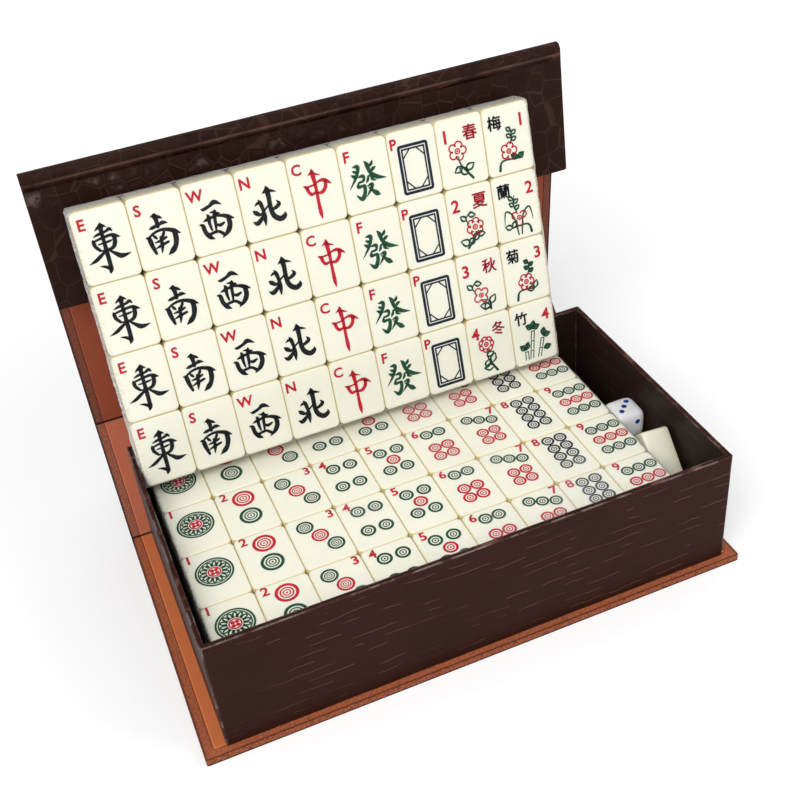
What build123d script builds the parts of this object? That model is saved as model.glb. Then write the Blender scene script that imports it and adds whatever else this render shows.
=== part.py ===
from build123d import *
import os

# Book-style mahjong case, opened: a tray of shrink-wrapped tile packs on a hinged board cover.
# Origin: centre of the base's underside. X to the right, Y to the back, Z up. Millimetres.

# ---- tiles and films --------------------------------------------------------------------------
pitch_x = 22.0
pitch_y = 30.0
tile_gap = 0.1
tile_t = 12.4
tile_r = 2.2               # plan corner
cols = 9
rows = 4
film_t = 0.2
film_clear = 0.05
film_skin = film_t + film_clear
pack_w = cols * pitch_x
pack_d = rows * pitch_y
film_w = pack_w + 2 * film_skin
film_d = pack_d + 2 * film_skin
film_h = tile_t + 2 * film_skin

# ---- cover panels --------------------------------------------------------------------------
cover_t = 3.0              # leatherette, board and lining together
wrap_t = 0.4               # leatherette around the boards
sheet_t = 0.4              # lining sheet
board_t = cover_t - wrap_t - sheet_t
corner_r = 1.0
lining_clear = 0.1         # lining to the wrapped edge
groove_in = 3.6            # pressed line, in from the lining's edge
groove_w = 0.6
groove_d = 0.15

# ---- folds: bare leatherette, rolled about the fold's axis on the panels' inner face ---------
hinge_gap = 3.3            # fold axis to the board beside it
fold_gap = 0.3             # clearance between pieces that turn past each other
strip_t = 0.5
outer_roll_r = 1.7         # inside radius of a fold's outer roll
inner_roll_r = 0.8         # inside radius of a fold's inner roll
web_s = 0.4                # where a roll joins its panel's strip
web_far_s = 1.6            # the same, clear of the flap's roll
flap_lining_s = 2.5        # lining stops short of the tight fold
half_gap = fold_gap / 2

# ---- tray ----------------------------------------------------------------------------------
tray_h = 55.5
tray_wrap_t = 0.3
tray_board_t = 1.4
tray_lining_t = 0.3
tray_wall = tray_wrap_t + tray_board_t + tray_lining_t
left_room = 3.05           # free beside the packs, for a finger
right_room = 15.95         # space for loose tiles and the die
front_room = 0.65
back_room = 0.45
inner_w = left_room + film_w + right_room
inner_d = front_room + film_d + back_room
tray_w = inner_w + 2 * tray_wall
tray_d = inner_d + 2 * tray_wall
tray_x = 1.55              # glued a little right of the base's centre
tray_y = -1.0
pack_x = tray_x + (left_room - right_room) / 2
pack_y = tray_y + (front_room - back_room) / 2
side_margin = 7.75
cover_w = tray_w + 2 * side_margin    # every panel of the cover
floor_board_t = 1.6
floor_lining_t = 0.4
tray_r = 0.7
stack_gap = 0.3
floor_z = cover_t + floor_board_t + floor_lining_t
layers = [floor_z + stack_gap + i * (film_h + stack_gap) for i in range(3)]

# ---- closed case: the spine stands behind the tray, the lid clears its rim and the flap's
# ---- edge comes down in front of it on the base's margin ----------------------------------------
tray_front_y = tray_y - tray_d / 2
flap_inner_y = tray_front_y - fold_gap
base_front_y = flap_inner_y - cover_t
hinge_y = -base_front_y
spine_len = tray_h + fold_gap
lid_len = hinge_y - flap_inner_y
flap_len = spine_len - fold_gap
base_len = hinge_y - base_front_y

# ---- rest angles in degrees -----------------------------------------------------------------
spine_elev = 47.0          # spine above the table
lid_fold = 48.3            # lid turned forward from the spine
flap_ajar = 11.2           # flap folded in, this far from flat on the lid
flap_fold = 180 - flap_ajar
closed_fold = 90.0
roll_margin = 2.0
flap_roll = 88.0           # arc of the flap's outer roll
lid_end_roll = 88.0        # arc of the lid's inner roll

# ---- leaning pack: lower left corner of its front, in from the tray's walls and up from the packs
lean_right = 0.9
lean_forward = 20.17
lean_up = 6.58
lean_foot = (tray_x - inner_w / 2 + lean_right, tray_y + inner_d / 2 - lean_forward,
             layers[2] + film_h + lean_up)
lean_back = -14.4
lean_roll = 0.8
lean_yaw = 1.0

# ---- loose pieces in the gap at the right of the packs -----------------------------------------
gap_x = pack_x + (film_w + right_room) / 2
under_y = 7.5
die_y = 2.0
die_s = 14.6
die_ball_r = 10.1
pip_r = 1.25
pip_d = 0.5
pip_step = 2.75
askew_at = (102.7, -25.5, 28.0)
askew_slope = -42.0
askew_yaw = -3.5

os.makedirs("parts", exist_ok=True)


def save(item, name):
    item.part.label = name
    export_step(item.part, f"parts/{name}.step")


def direction(elev):
    return Vector(0, 1, 0).rotate(Axis.X, elev)


def panel_plane(at, elev):
    """Inner face of a panel: local Y leaves its fold, local Z points to the inside."""
    return Plane(origin=at, x_dir=(1, 0, 0), z_dir=Vector(0, 0, 1).rotate(Axis.X, elev))


def section_plane(at, elev):
    """Cross-section at the panel's left side: local X leaves the fold, local Y is the inside."""
    left = Vector(-cover_w / 2, at.Y, at.Z)
    return Plane(origin=left, x_dir=direction(elev), z_dir=(1, 0, 0))


def slab(plane, s0, s1, z0, z1, inset=0.0, radius=0.0, mode=Mode.ADD):
    """Plate of a panel between two stations along it."""
    width, length = cover_w - 2 * inset, s1 - s0 - 2 * inset
    with BuildSketch(plane.offset(z0)) as face:
        with Locations((0, (s0 + s1) / 2)):
            if radius:
                RectangleRounded(width, length, radius)
            else:
                Rectangle(width, length)
    extrude(face.sketch, amount=z1 - z0, mode=mode)


def wrapping(plane, s0, s1, l0, l1):
    """Leatherette drawn round a board, low enough at the folds for the lining to pass over."""
    slab(plane, s0, s1, -cover_t, 0, radius=corner_r)
    slab(plane, s0, s1, wrap_t - cover_t, 0, wrap_t, corner_r - wrap_t, Mode.SUBTRACT)
    with BuildSketch(plane.offset(-sheet_t)) as face:
        with Locations((0, (l0 + l1) / 2)):
            Rectangle(cover_w - 2 * wrap_t, l1 - l0 + 2 * lining_clear)
    extrude(face.sketch, amount=sheet_t, mode=Mode.SUBTRACT)


def strip(plane, a, b):
    """Bare leatherette from a board's wrapping towards a fold, flush with the outside."""
    slab(plane, a, b, -cover_t, strip_t - cover_t)


def roll(section, centre, r_in, start, size):
    """Leatherette rolled about a fold's axis, as a ring sector through the whole width."""
    with BuildSketch(section) as face:
        with BuildLine():
            inside = CenterArc((centre, 0), r_in, start, size)
            outside = CenterArc((centre, 0), r_in + strip_t, start, size)
            Line(inside @ 0, outside @ 0)
            Line(inside @ 1, outside @ 1)
        make_face()
    extrude(face.sketch, amount=cover_w)


def web(section, a, b, r_in, tie0, tie1):
    """Straight run of a roll and the tie that joins it to the strip on the outside."""
    with BuildSketch(section) as face:
        with Locations(((a + b) / 2, -(r_in + strip_t / 2))):
            Rectangle(abs(b - a), strip_t)
        with Locations(((tie0 + tie1) / 2, -(cover_t + r_in) / 2)):
            Rectangle(tie1 - tie0, cover_t - r_in)
    extrude(face.sketch, amount=cover_w)


def board(plane, s0, s1):
    slab(plane, s0, s1, wrap_t - cover_t, -sheet_t, wrap_t, corner_r - wrap_t)


def lining(plane, l0, l1):
    """Lining sheet with a line pressed into it all round."""
    inset = wrap_t + lining_clear
    width, length = cover_w - 2 * inset, l1 - l0
    with BuildSketch(plane.offset(-sheet_t)) as face:
        with Locations((0, (l0 + l1) / 2)):
            Rectangle(width, length)
    extrude(face.sketch, amount=sheet_t)
    with BuildSketch(plane.offset(-groove_d)) as face:
        with Locations((0, (l0 + l1) / 2)):
            Rectangle(width - 2 * groove_in, length - 2 * groove_in)
            Rectangle(width - 2 * (groove_in + groove_w), length - 2 * (groove_in + groove_w),
                      mode=Mode.SUBTRACT)
    extrude(face.sketch, amount=groove_d, mode=Mode.SUBTRACT)


# =============================== cover =========================================================
fold1 = Vector(0, hinge_y, cover_t)
fold2 = fold1 + direction(spine_elev) * spine_len
lid_elev = spine_elev + lid_fold
fold3 = fold2 + direction(lid_elev) * lid_len
flap_elev = lid_elev + flap_fold

base_plane = Plane(origin=fold1, x_dir=(-1, 0, 0), z_dir=(0, 0, 1))
spine_plane = panel_plane(fold1, spine_elev)
lid_plane = panel_plane(fold2, lid_elev)
flap_plane = panel_plane(fold3, flap_elev)
spine_section = section_plane(fold1, spine_elev)
lid_section = section_plane(fold2, lid_elev)
flap_section = section_plane(fold3, flap_elev)

free_lining = wrap_t + lining_clear
tie_t = strip_t
down = -90.0

# ---- base
with BuildPart() as base_wrap:
    wrapping(base_plane, hinge_gap, base_len, fold_gap, base_len - free_lining)
    strip(base_plane, half_gap, hinge_gap + wrap_t)
save(base_wrap, "base_wrap")

with BuildPart() as base_board:
    board(base_plane, hinge_gap, base_len)
save(base_board, "base_board")

with BuildPart() as base_lining:
    lining(base_plane, fold_gap, base_len - free_lining)
save(base_lining, "base_lining")

# ---- leatherette strip in the fold between base and spine
with BuildPart() as base_hinge_strip:
    roll(spine_section, 0, outer_roll_r, down - spine_elev, spine_elev - roll_margin)
save(base_hinge_strip, "base_hinge_strip")

# ---- spine
spine_end = spine_len - hinge_gap
with BuildPart() as spine_wrap:
    wrapping(spine_plane, hinge_gap, spine_end, fold_gap, spine_len - fold_gap)
    strip(spine_plane, half_gap, hinge_gap + wrap_t)
    strip(spine_plane, spine_end - wrap_t, spine_len - half_gap)
    roll(spine_section, 0, inner_roll_r, down - spine_elev + roll_margin, spine_elev - roll_margin)
    web(spine_section, 0, web_s + tie_t, inner_roll_r, web_s, web_s + tie_t)
save(spine_wrap, "spine_wrap")

with BuildPart() as spine_board:
    board(spine_plane, hinge_gap, spine_end)
save(spine_board, "spine_board")

with BuildPart() as spine_lining:
    lining(spine_plane, fold_gap, spine_len - fold_gap)
save(spine_lining, "spine_lining")

# ---- lid
lid_end = lid_len - hinge_gap
with BuildPart() as lid_wrap:
    wrapping(lid_plane, hinge_gap, lid_end, fold_gap, lid_len - flap_lining_s)
    strip(lid_plane, half_gap, hinge_gap + wrap_t)
    strip(lid_plane, lid_end - wrap_t, lid_len - half_gap)
    roll(lid_section, 0, outer_roll_r, down - closed_fold + roll_margin, closed_fold - roll_margin)
    web(lid_section, 0, web_s + tie_t, outer_roll_r, web_s, web_s + tie_t)
    roll(lid_section, lid_len, inner_roll_r, down, lid_end_roll)
    web(lid_section, lid_len - web_far_s - tie_t, lid_len, inner_roll_r,
        lid_len - web_far_s - tie_t, lid_len - web_far_s)
save(lid_wrap, "lid_wrap")

with BuildPart() as lid_board:
    board(lid_plane, hinge_gap, lid_end)
save(lid_board, "lid_board")

with BuildPart() as lid_lining:
    lining(lid_plane, fold_gap, lid_len - flap_lining_s)
save(lid_lining, "lid_lining")

# ---- front flap
with BuildPart() as flap_wrap:
    wrapping(flap_plane, hinge_gap, flap_len, flap_lining_s, flap_len - free_lining)
    strip(flap_plane, half_gap, hinge_gap + wrap_t)
    roll(flap_section, 0, outer_roll_r, down - flap_roll, flap_roll)
    web(flap_section, 0, web_s + tie_t, outer_roll_r, web_s, web_s + tie_t)
save(flap_wrap, "flap_wrap")

with BuildPart() as flap_board:
    board(flap_plane, hinge_gap, flap_len)
save(flap_board, "flap_board")

with BuildPart() as flap_lining:
    lining(flap_plane, flap_lining_s, flap_len - free_lining)
save(flap_lining, "flap_lining")

# =============================== tray ==========================================================
tray_top = cover_t + tray_h
wall_top = tray_top - tray_wrap_t
board_w = tray_w - 2 * tray_wrap_t
board_d = tray_d - 2 * tray_wrap_t
lined_w = inner_w + 2 * tray_lining_t
lined_d = inner_d + 2 * tray_lining_t


def tray_ring(z0, z1, outer_w, outer_d, hole_w, hole_d, radius=0.0):
    with BuildSketch(Plane.XY.offset(z0)) as face:
        with Locations((tray_x, tray_y)):
            if radius:
                RectangleRounded(outer_w, outer_d, radius)
            else:
                Rectangle(outer_w, outer_d)
            Rectangle(hole_w, hole_d, mode=Mode.SUBTRACT)
    extrude(face.sketch, amount=z1 - z0)


def tray_plate(x, y, w, d, z0, z1):
    with BuildSketch(Plane.XY.offset(z0)) as face:
        with Locations((tray_x + x, tray_y + y)):
            Rectangle(w, d)
    extrude(face.sketch, amount=z1 - z0)


with BuildPart() as tray_wrap:
    tray_ring(cover_t, tray_top, tray_w, tray_d, board_w, board_d, tray_r)
    tray_ring(wall_top, tray_top, tray_w, tray_d, inner_w, inner_d, tray_r)
save(tray_wrap, "tray_wrap")

with BuildPart() as tray_floor_board:
    tray_plate(0, 0, lined_w, lined_d, cover_t, cover_t + floor_board_t)
save(tray_floor_board, "tray_floor_board")

with BuildPart() as tray_floor_lining:
    tray_plate(0, 0, inner_w, inner_d, cover_t + floor_board_t, floor_z)
save(tray_floor_lining, "tray_floor_lining")

with BuildPart() as tray_wall_lining:
    tray_ring(cover_t + floor_board_t, wall_top, lined_w, lined_d, inner_w, inner_d)
save(tray_wall_lining, "tray_wall_lining")

for wall_name, side in (("front", -1), ("back", 1)):
    with BuildPart() as long_board:
        tray_plate(0, side * (board_d - tray_board_t) / 2, board_w, tray_board_t, cover_t, wall_top)
    save(long_board, f"tray_{wall_name}_board")

for wall_name, side in (("left", -1), ("right", 1)):
    with BuildPart() as end_board:
        tray_plate(side * (board_w - tray_board_t) / 2, 0, tray_board_t, lined_d, cover_t, wall_top)
    save(end_board, f"tray_{wall_name}_board")

# =============================== packs of tiles ================================================
with BuildPart() as tile:
    with BuildSketch(Plane.XY.offset(-tile_t / 2)):
        RectangleRounded(pitch_x - tile_gap, pitch_y - tile_gap, tile_r)
    extrude(amount=tile_t)


def tile_spot(col, row):
    return Location(((col + 0.5) * pitch_x, -(row + 0.5) * pitch_y, -tile_t / 2))


def tiles(name, pack, spots):
    with BuildPart() as group:
        with Locations(*[pack * tile_spot(col, row) for col, row in spots]):
            add(tile.part)
    save(group, name)


def film(name, pack):
    """Shrink film: a thin closed skin round the pack."""
    spot = pack * Location((pack_w / 2, -pack_d / 2, -tile_t / 2))
    with BuildPart() as skin:
        with BuildSketch(Plane(spot).offset(-film_h / 2)):
            RectangleRounded(film_w, film_d, tile_r)
        extrude(amount=film_h)
        with BuildSketch(Plane(spot).offset(film_t - film_h / 2)):
            RectangleRounded(film_w - 2 * film_t, film_d - 2 * film_t, tile_r - film_t)
        extrude(amount=film_h - 2 * film_t, mode=Mode.SUBTRACT)
    save(skin, name)


def lying(level):
    return Location((pack_x - pack_w / 2, pack_y + pack_d / 2, level + film_h - film_skin))


every = [(col, row) for col in range(cols) for row in range(rows)]
leaning = (Location(lean_foot) * Location((0, 0, 0), (0, 0, 1), lean_yaw)
           * Location((0, 0, 0), (0, 1, 0), lean_roll)
           * Location((0, 0, 0), (1, 0, 0), lean_back + 90) * Location((0, pack_d, 0)))

film("character_film", lying(layers[0]))
tiles("character_tiles", lying(layers[0]), every)
film("bamboo_film", lying(layers[1]))
tiles("bamboo_tiles", lying(layers[1]), every)

film("dots_film", lying(layers[2]))
for number in range(cols):
    tiles(f"dot_{number + 1}_tiles", lying(layers[2]), [(number, row) for row in range(rows)])

film("honours_film", leaning)
honours = ("east_wind", "south_wind", "west_wind", "north_wind", "red_dragon", "green_dragon",
           "white_dragon", "season", "flower")
for number, honour in enumerate(honours):
    tiles(f"{honour}_tiles", leaning, [(number, row) for row in range(rows)])

# =============================== loose pieces ==================================================
under_z = floor_z + stack_gap + pitch_x / 2
# long side along Y, short side up, thickness across the gap
on_side = Location((0, 0, 0), (0, 1, 0), 90)

with BuildPart() as blank_tile_under:
    with Locations(Location((gap_x, under_y, under_z)) * on_side):
        add(tile.part)
save(blank_tile_under, "blank_tile_under")

askew = (Location(askew_at) * Location((0, 0, 0), (0, 0, 1), askew_yaw)
         * Location((0, 0, 0), (1, 0, 0), -askew_slope) * on_side)
with BuildPart() as blank_tile_askew:
    with Locations(askew):
        add(tile.part)
save(blank_tile_askew, "blank_tile_askew")

die_z = under_z + pitch_x / 2 + stack_gap + die_s / 2
die_at = Vector(gap_x, die_y, die_z)
a = pip_step
pips = {1: [(0, 0)], 2: [(a, a), (-a, -a)], 3: [(a, a), (0, 0), (-a, -a)],
        4: [(a, a), (a, -a), (-a, a), (-a, -a)], 5: [(0, 0), (a, a), (a, -a), (-a, a), (-a, -a)],
        6: [(a, a), (a, 0), (a, -a), (-a, a), (-a, 0), (-a, -a)]}
die_faces = {3: ((0, 0, 1), (1, 0, 0)), 4: ((0, 0, -1), (1, 0, 0)), 2: ((0, -1, 0), (1, 0, 0)),
             5: ((0, 1, 0), (-1, 0, 0)), 1: ((1, 0, 0), (0, 1, 0)), 6: ((-1, 0, 0), (0, -1, 0))}
pip_ball = (pip_r ** 2 + pip_d ** 2) / (2 * pip_d)
with BuildPart() as die:
    with Locations(die_at):
        Box(die_s, die_s, die_s)
        Sphere(die_ball_r, mode=Mode.INTERSECT)
    for count, (normal, across) in die_faces.items():
        face = Plane(origin=die_at, x_dir=across, z_dir=normal).offset(die_s / 2 + pip_ball - pip_d)
        with Locations(*[face * Location((x, y, 0)) for x, y in pips[count]]):
            Sphere(pip_ball, mode=Mode.SUBTRACT)
save(die, "die")
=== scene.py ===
# %% [markdown]
# # An opened mahjong case, dressed around its solid model
# The case is a board tray on a hinged cover, wrapped in embossed leatherette, with packs of tiles
# in shrink film. The solid model already fixes every size and every fold, so this lesson adds
# what makes it look real: finishes made of nodes, rounded tiles, painted marks and clear film.

# %% Load the frame
import math
import bpy
import numpy as np
from mathutils import Euler, Matrix, Vector, noise


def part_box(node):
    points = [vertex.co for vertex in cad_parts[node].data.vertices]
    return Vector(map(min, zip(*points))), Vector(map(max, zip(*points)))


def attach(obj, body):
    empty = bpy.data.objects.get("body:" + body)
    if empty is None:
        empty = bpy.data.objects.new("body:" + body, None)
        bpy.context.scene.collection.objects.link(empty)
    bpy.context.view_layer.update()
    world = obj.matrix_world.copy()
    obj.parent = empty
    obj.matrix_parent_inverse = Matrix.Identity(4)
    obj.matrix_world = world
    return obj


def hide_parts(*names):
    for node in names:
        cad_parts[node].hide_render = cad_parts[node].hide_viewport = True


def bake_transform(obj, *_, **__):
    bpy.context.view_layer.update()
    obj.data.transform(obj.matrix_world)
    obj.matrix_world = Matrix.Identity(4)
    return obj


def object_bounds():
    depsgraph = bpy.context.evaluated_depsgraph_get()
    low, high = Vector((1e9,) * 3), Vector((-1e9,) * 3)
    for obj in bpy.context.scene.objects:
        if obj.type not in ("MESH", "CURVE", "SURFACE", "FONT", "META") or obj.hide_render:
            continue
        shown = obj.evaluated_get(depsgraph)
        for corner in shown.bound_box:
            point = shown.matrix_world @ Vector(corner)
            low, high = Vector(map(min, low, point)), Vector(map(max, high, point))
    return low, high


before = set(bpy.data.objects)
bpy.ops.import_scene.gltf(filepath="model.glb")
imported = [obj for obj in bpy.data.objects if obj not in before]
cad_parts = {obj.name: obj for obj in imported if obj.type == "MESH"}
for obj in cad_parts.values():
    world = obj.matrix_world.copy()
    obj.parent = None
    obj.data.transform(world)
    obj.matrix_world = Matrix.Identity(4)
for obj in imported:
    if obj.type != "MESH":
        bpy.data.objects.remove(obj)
cad_bounds = [list(map(float, corner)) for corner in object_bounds()]
MM = 0.001
print("CAD box in mm:", [[round(v / MM, 1) for v in corner] for corner in cad_bounds])

# %% [markdown]
# ## Shader maths as plain expressions
# A finish mixes many masks. Wiring Math nodes by hand hides the idea, so a socket is wrapped in a
# small class whose operators add the nodes: `1 - mask * 0.5` reads as it would on paper.


# %% Sockets as values
class Wire:
    """A socket in an expression. Every operator adds one Math node to its finish."""

    def __init__(self, finish, socket):
        self.finish, self.socket = finish, socket

    def math(self, operation, *terms):
        return self.finish.add("ShaderNodeMath", {"operation": operation}, dict(enumerate(terms)))

    def out(self, name):
        return Wire(self.finish, self.socket.node.outputs[name])

    def __add__(self, other):
        return self.math("ADD", self, other)

    def __sub__(self, other):
        return self.math("SUBTRACT", self, other)

    def __rsub__(self, other):
        return self.math("SUBTRACT", other, self)

    def __mul__(self, other):
        return self.math("MULTIPLY", self, other)

    def least(self, other):
        return self.math("MINIMUM", self, other)

    def most(self, other):
        return self.math("MAXIMUM", self, other)

    def size(self):
        return self.math("ABSOLUTE", self)

    __radd__ = __add__
    __rmul__ = __mul__


class Finish:
    """One material, and the one method that adds any node to it."""

    def __init__(self, name, tree=None):
        if tree is None:
            self.material = bpy.data.materials.new(name)
            self.material.use_nodes = True
            tree = self.material.node_tree
        self.tree = tree
        tree.nodes.clear()

    def add(self, kind, settings=None, sockets=None, output=0):
        node = self.tree.nodes.new(kind)
        for key, value in (settings or {}).items():
            setattr(node, key, value)
        for key, value in (sockets or {}).items():
            socket = node.inputs[key]
            if isinstance(value, Wire):
                self.tree.links.new(value.socket, socket)
            elif isinstance(value, tuple) and socket.type == "RGBA":
                socket.default_value = (*value, 1)
            else:
                socket.default_value = value
        return Wire(self, node.outputs[output])

    def place(self):
        return self.add("ShaderNodeTexCoord").out("Object")

    def axes(self, vector):
        parts = self.add("ShaderNodeSeparateXYZ", None, {0: vector})
        return [parts.out(axis) for axis in "XYZ"]

    def vectors(self, operation, first, second):
        second_key = "Scale" if operation == "SCALE" else 1
        return self.add("ShaderNodeVectorMath", {"operation": operation},
                        {0: first, second_key: second})

    def scaled(self, vector, scale):
        return self.add("ShaderNodeMapping", None, {0: vector, "Scale": scale})

    def noise(self, vector, scale, detail=3.0, rough=0.55, distortion=0.0):
        return self.add("ShaderNodeTexNoise", None,
                        {"Vector": vector, "Scale": scale, "Detail": detail,
                         "Roughness": rough, "Distortion": distortion})

    def cells(self, vector, scale, feature, spread=1.0, output="Distance"):
        wire = self.add("ShaderNodeTexVoronoi", {"feature": feature},
                        {"Vector": vector, "Scale": scale, "Randomness": spread})
        return wire.out(output)

    def ease(self, value, low, high):
        """0 below low, 1 above high, smooth between."""
        return self.add("ShaderNodeMapRange", {"interpolation_type": "SMOOTHSTEP"},
                        {"Value": value, "From Min": low, "From Max": high})

    def band(self, value, low, full, fall, high):
        """1 from full to fall, easing off to 0 at low and at high."""
        return self.ease(value, low, full) * (1 - self.ease(value, fall, high))

    def blend(self, factor, first, second):
        return self.add("ShaderNodeMix", {"data_type": "RGBA"},
                        {0: factor, 6: first, 7: second}, output=2)

    def warp(self, vector, scale, amount):
        """Coordinates pushed about by noise, so that a pattern wanders."""
        push = self.noise(vector, scale, 2.0).out("Color")
        centred = self.vectors("SUBTRACT", push, (0.5, 0.5, 0.5))
        return self.vectors("ADD", vector, self.vectors("SCALE", centred, amount))

    def bump(self, height, strength, depth, normal=None):
        under = {} if normal is None else {"Normal": normal}
        return self.add("ShaderNodeBump", None,
                        {"Height": height, "Strength": strength, "Distance": depth, **under})

    def edges(self, radius):
        """A softened normal, and how far it turns away from the true one: 1 at an edge."""
        soft = self.add("ShaderNodeBevel", {"samples": 4}, {"Radius": radius})
        true = self.add("ShaderNodeNewGeometry").out("True Normal")
        agree = self.vectors("DOT_PRODUCT", soft, true).out("Value")
        return soft, self.ease(1 - agree, 0.01, 0.22)

    def surface(self, **sockets):
        bsdf = self.add("ShaderNodeBsdfPrincipled", None,
                        {key.replace("_", " "): value for key, value in sockets.items()})
        return self.show(bsdf)

    def show(self, shader, kind="Material"):
        output = self.tree.nodes.new("ShaderNodeOutput" + kind)
        self.tree.links.new(shader.socket, output.inputs["Surface"])
        return self.material if kind == "Material" else None


print("shader helpers ready")

# %% [markdown]
# ## Leatherette
# The cover and tray are wrapped in dark brown plastic-coated paper, embossed like crocodile skin.
# An image could carry the pattern, but it would repeat and blur. A Voronoi texture's distance to
# its cell edges is just what the emboss is: plump scales parted by furrows. The tray is pressed
# with long level creases instead, so it has a recipe of its own: broken lines a few millimetres
# apart, which wander because noise pushes their coordinates about.


# %% Where the cover's panels lie
PANEL_W = 237.0
ELEV = {"base": 180.0, "spine": 47.0, "lid": 95.3, "flap": 264.1}    # degrees above the table
LENGTH = {"spine": 55.8, "lid": 131.2}                               # from fold to fold
FOLD_1 = (0.0, 67.1, 3.0)


def fold_after(fold, panel):
    rise = math.radians(ELEV[panel])
    return (0.0, fold[1] + LENGTH[panel] * math.cos(rise), fold[2] + LENGTH[panel] * math.sin(rise))


FOLD_2 = fold_after(FOLD_1, "spine")
FOLD_3 = fold_after(FOLD_2, "lid")
FOLDS = {"base": FOLD_1, "spine": FOLD_1, "lid": FOLD_2, "flap": FOLD_3}


# %% Leatherette finishes
THREAD_HIGHLIGHT, SHEEN_PATCH, RIDGE_HIGHLIGHT = (0.062, 0.030, 0.022), (0.125, 0.088, 0.077), (0.15, 0.08, 0.065)
WEAR_AND_SHEEN, TAN_EDGE = (0.13, 0.052, 0.036), (0.34, 0.095, 0.042)
SCALE_SIZE = (8.6, 12.0, 60)


def panel_place(finish, panel):
    """Flat coordinates of a panel: X across, Y away from its fold, Z up from its inner face."""
    turn = (0, 0, math.pi) if panel == "base" else (math.radians(ELEV[panel]), 0, 0)
    fold = tuple(v * MM for v in FOLDS[panel])
    return finish.add("ShaderNodeMapping", {"vector_type": "TEXTURE"},
                      {0: finish.place(), "Location": fold, "Rotation": turn})


def scales(name, dark, light, panel=None):
    """Cover: rows of rounded scales with thin raised threads between them."""
    finish = Finish(name)
    here = panel_place(finish, panel) if panel else finish.place()
    wandering = finish.warp(here, 60, 0.004)
    stretched = finish.scaled(wandering, tuple(1 / (v * MM) for v in SCALE_SIZE))
    to_edge = finish.cells(stretched, 1.0, "DISTANCE_TO_EDGE", 0.62)
    tone = finish.add("ShaderNodeSeparateColor", None,
                      {0: finish.cells(stretched, 1.0, "F1", 0.62, "Color")}).out("Red")
    plump = finish.ease(to_edge, 0.02, 0.34)
    thread = 1 - finish.ease(to_edge, 0.008, 0.032)
    patches = finish.noise(here, 30, 3.0)
    wrinkle = finish.noise(finish.warp(here, 300, 0.002), 520, 4.0, 0.6)
    pores = finish.noise(here, 1500, 2.0)
    across, away, up = finish.axes(here)
    soft, edge = finish.edges(0.6 * MM)
    colour = finish.blend(patches * 0.6 + tone * 0.3 - plump * 0.2 + 0.1, dark, light)
    # The raised threads are painted lighter in places, as painted highlights along them.
    colour = finish.blend(thread * finish.ease(patches, 0.30, 0.60) * 0.5, colour, THREAD_HIGHLIGHT)
    painted_sheen = 0.0
    if panel == "flap":
        # A row of glossy patches on the flap, painted paler and smoother, as painted sheen.
        row = finish.band(away, 3 * MM, 7 * MM, 9 * MM, 13 * MM)
        middle = 1 - finish.ease(across, -20 * MM, 60 * MM)
        inside = finish.ease(to_edge, 0.05, 0.22)
        painted_sheen = row * middle * finish.ease(wrinkle, 0.30, 0.70) * inside
        colour = finish.blend(painted_sheen * finish.ease(tone, 0.1, 0.8) * 0.8, colour, SHEEN_PATCH)
        # A thin line just below the flap's fold is painted lighter, as a painted highlight.
        ridge_highlight = finish.band(away, 0.8 * MM, 1.3 * MM, 1.8 * MM, 2.4 * MM)
        colour = finish.blend(ridge_highlight * finish.ease(patches, 0.3, 0.6) * 0.5, colour, RIDGE_HIGHLIGHT)
    # Edges are painted lighter, partly for wear and partly as painted sheen where they catch the
    # light.
    colour = finish.blend(edge * finish.ease(patches, 0.35, 0.65) * 0.7, colour, WEAR_AND_SHEEN)
    if panel == "base":
        skin = finish.ease(up, -2.45 * MM, -2.25 * MM)
        grain = finish.ease(finish.cells(here, 650, "DISTANCE_TO_EDGE"), 0.0, 0.15)
        tan = finish.blend(grain, tuple(c * 0.45 for c in TAN_EDGE), TAN_EDGE)
        colour = finish.blend(skin, colour, tan)
    height = thread * 0.7 + plump * 0.35 + wrinkle * 0.35 * plump + pores * 0.05
    return finish.surface(Base_Color=colour, Roughness=patches * 0.2 + 0.36 - painted_sheen * 0.15,
                          Specular_IOR_Level=0.07,
                          Normal=finish.bump(height, 0.6, 0.45 * MM, soft))


def creases(name, dark, light, spacing, run, share, shine):
    """Tray: smooth hide pressed with short level creases, a few millimetres apart."""
    finish = Finish(name)
    here = finish.place()
    wandering = finish.warp(finish.warp(here, 24, 0.004), 90, 0.0026)
    level = finish.axes(wandering)[2] * (1 / (spacing * MM))
    from_line = (level.math("FRACT", level) - 0.5).size()
    lengths = (1 / (run * MM), 1 / (run * MM), 1.1 / (spacing * MM))
    there = finish.noise(finish.scaled(here, lengths), 1.0, 1.0)
    on_line = 1 - finish.ease(from_line, 0.012, 0.055)
    thread = on_line * finish.ease(there, 1 - share, 1.06 - share)
    by_line = 1 - finish.ease(from_line, 0.0, 0.22)
    dent = by_line * finish.ease(there, 0.94 - share, 1.10 - share)
    patches = finish.noise(here, 26, 3.0)
    wrinkle = finish.noise(finish.scaled(wandering, (90, 90, 330)), 1.0, 5.0, 0.6, 0.6)
    pores = finish.noise(here, 1500, 2.0)
    soft, edge = finish.edges(0.9 * MM)
    colour = finish.blend(patches * 0.55 + wrinkle * 0.45, dark, light)
    # The crease lines are painted lighter where they show, as painted highlights along the creases.
    drawn = thread * finish.ease(patches, 0.35, 0.55) * 0.7
    colour = finish.blend(drawn, colour, (0.17, 0.075, 0.055))
    # Edges are painted lighter, partly for wear and partly as painted sheen where they catch the
    # light.
    colour = finish.blend(edge * 0.7, colour, (0.15, 0.065, 0.052))
    glint = finish.ease(finish.noise(here, 130, 3.0), 0.44, 0.62) * edge
    colour = finish.blend(glint * shine, colour, (0.50, 0.42, 0.39))
    height = wrinkle * 0.5 + pores * 0.04 - dent * 0.6 + thread * 0.5
    return finish.surface(Base_Color=colour, Roughness=0.34 + patches * 0.22 - glint * 0.1,
                          Specular_IOR_Level=0.07,
                          Normal=finish.bump(height, 0.55, 0.45 * MM, soft))


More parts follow.
